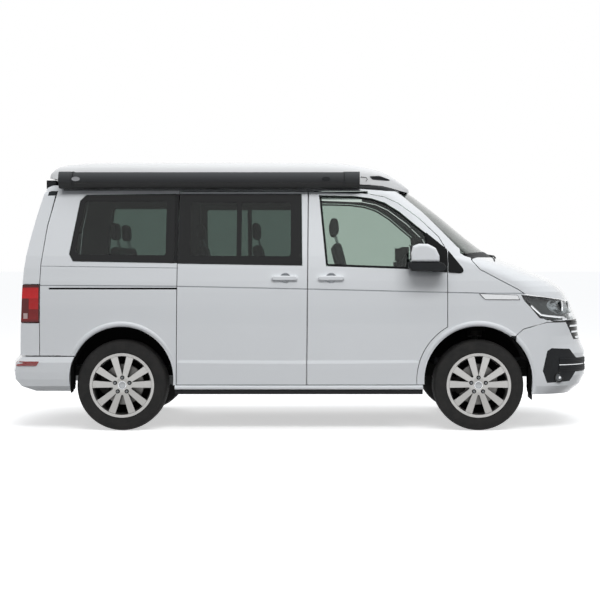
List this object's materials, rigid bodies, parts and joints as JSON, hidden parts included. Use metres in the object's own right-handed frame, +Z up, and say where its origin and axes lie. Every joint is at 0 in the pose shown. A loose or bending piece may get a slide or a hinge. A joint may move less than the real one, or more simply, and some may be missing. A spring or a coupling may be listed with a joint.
{
  "type": "camper van",
  "caption": "Compact camper van with a rear-hinged pop-up roof, side awning case, sliding side door, opening front doors, bonnet and tailgate, and steered front wheels.",
  "frame": {"origin": "on the ground, halfway between the bumpers' ends, on the centre plane", "axes": "+X forward, +Y to the van's left, +Z up"},
  "size_m": [4.83, 2.3, 2.202],
  "materials": {
    "body_paint": "gloss",
    "roof_paint": "gloss",
    "dark_trim": "satin",
    "awning": "satin",
    "tinted_glass": "polished",
    "clear_glass": "polished",
    "lamp_red": "gloss",
    "lamp_clear": "gloss",
    "tyre": "matte",
    "alloy": "satin",
    "steel": "matte",
    "cast": "matte",
    "cabin": "matte",
    "seat_fabric": "matte",
    "bellows_fabric": "matte"
  },
  "bodies": {
    "body": {"roof_panel": "body_paint", "pillars": "body_paint", "quarter_panel_right": "body_paint", "side_panel_left": "body_paint", "front_wings": "body_paint", "front_bumper": "body_paint", "lower_trims": "dark_trim", "front_grille": "dark_trim", "headlamps": "alloy", "headlamp_covers": "lamp_clear", "windscreen": "clear_glass", "cowl_panel": "dark_trim", "sliding_door": "body_paint", "side_glass": "tinted_glass", "tail_lamps": "lamp_red", "rear_bumper": "body_paint", "awning_case": "awning", "roof_trims": "dark_trim", "underbody": "steel", "towing_sockets": "steel", "wheel_houses": "dark_trim", "engine_block": "cast", "dashboard": "cabin", "steering_wheel": "cabin", "seats": "seat_fabric", "axles": "steel", "roof_bellows": "bellows_fabric"},
    "door_right": {"front_door_right": "body_paint", "door_glass_right": "clear_glass"},
    "door_left": {"front_door_left": "body_paint", "door_glass_left": "clear_glass"},
    "bonnet_lid": {"bonnet": "body_paint"},
    "tailgate_lid": {"tailgate": "body_paint", "tailgate_glass": "tinted_glass"},
    "roof_lid": {"pop_roof": "roof_paint"},
    "knuckle_right_body": {"knuckle_right": "cast"},
    "knuckle_left_body": {"knuckle_left": "cast"},
    "wheel_front_right": {"tyre_front_right": "tyre", "rim_front_right": "alloy"},
    "wheel_front_left": {"tyre_front_left": "tyre", "rim_front_left": "alloy"},
    "wheel_rear_right": {"tyre_rear_right": "tyre", "rim_rear_right": "alloy"},
    "wheel_rear_left": {"tyre_rear_left": "tyre", "rim_rear_left": "alloy"}
  },
  "joints": [
    {"name": "door_right_hinge", "type": "hinge", "parent": "body", "child": "door_right", "pos_m": [1.193, -0.953, 1.1], "axis": [0, 0, 1], "range_deg": [0, 65]},
    {"name": "door_left_hinge", "type": "hinge", "parent": "body", "child": "door_left", "pos_m": [1.193, 0.953, 1.1], "axis": [0, 0, -1], "range_deg": [0, 65]},
    {"name": "bonnet_hinge", "type": "hinge", "parent": "body", "child": "bonnet_lid", "pos_m": [1.388, 0, 1.374], "axis": [0, -1, 0], "range_deg": [0, 60]},
    {"name": "tailgate_hinge", "type": "hinge", "parent": "body", "child": "tailgate_lid", "pos_m": [-2.112, 0, 1.93], "axis": [0, 1, 0], "range_deg": [0, 85]},
    {"name": "roof_hinge", "type": "hinge", "parent": "body", "child": "roof_lid", "pos_m": [-2.08, 0, 2.04], "axis": [0, -1, 0], "range_deg": [0, 20], "deforming": ["roof_bellows"]},
    {"name": "steering_right", "type": "hinge", "parent": "body", "child": "knuckle_right_body", "pos_m": [1.4444, -0.742, 0.225], "axis": [0, 0.2215, 0.9751], "range_deg": [-35, 35]},
    {"name": "steering_left", "type": "hinge", "parent": "body", "child": "knuckle_left_body", "pos_m": [1.4444, 0.742, 0.225], "axis": [0, -0.2215, 0.9751], "range_deg": [-35, 35]},
    {"name": "wheel_front_right_spin", "type": "hinge", "parent": "knuckle_right_body", "child": "wheel_front_right", "pos_m": [1.4444, -0.812, 0.364], "axis": [0, 1, 0], "continuous": true},
    {"name": "wheel_front_left_spin", "type": "hinge", "parent": "knuckle_left_body", "child": "wheel_front_left", "pos_m": [1.4444, 0.812, 0.364], "axis": [0, 1, 0], "continuous": true},
    {"name": "wheel_rear_right_spin", "type": "hinge", "parent": "body", "child": "wheel_rear_right", "pos_m": [-1.4126, -0.812, 0.364], "axis": [0, 1, 0], "continuous": true},
    {"name": "wheel_rear_left_spin", "type": "hinge", "parent": "body", "child": "wheel_rear_left", "pos_m": [-1.4126, 0.812, 0.364], "axis": [0, 1, 0], "continuous": true}
  ],
  "couplings": [
    {"joint": "steering_left", "follows": "steering_right", "ratio": 1}
  ]
}
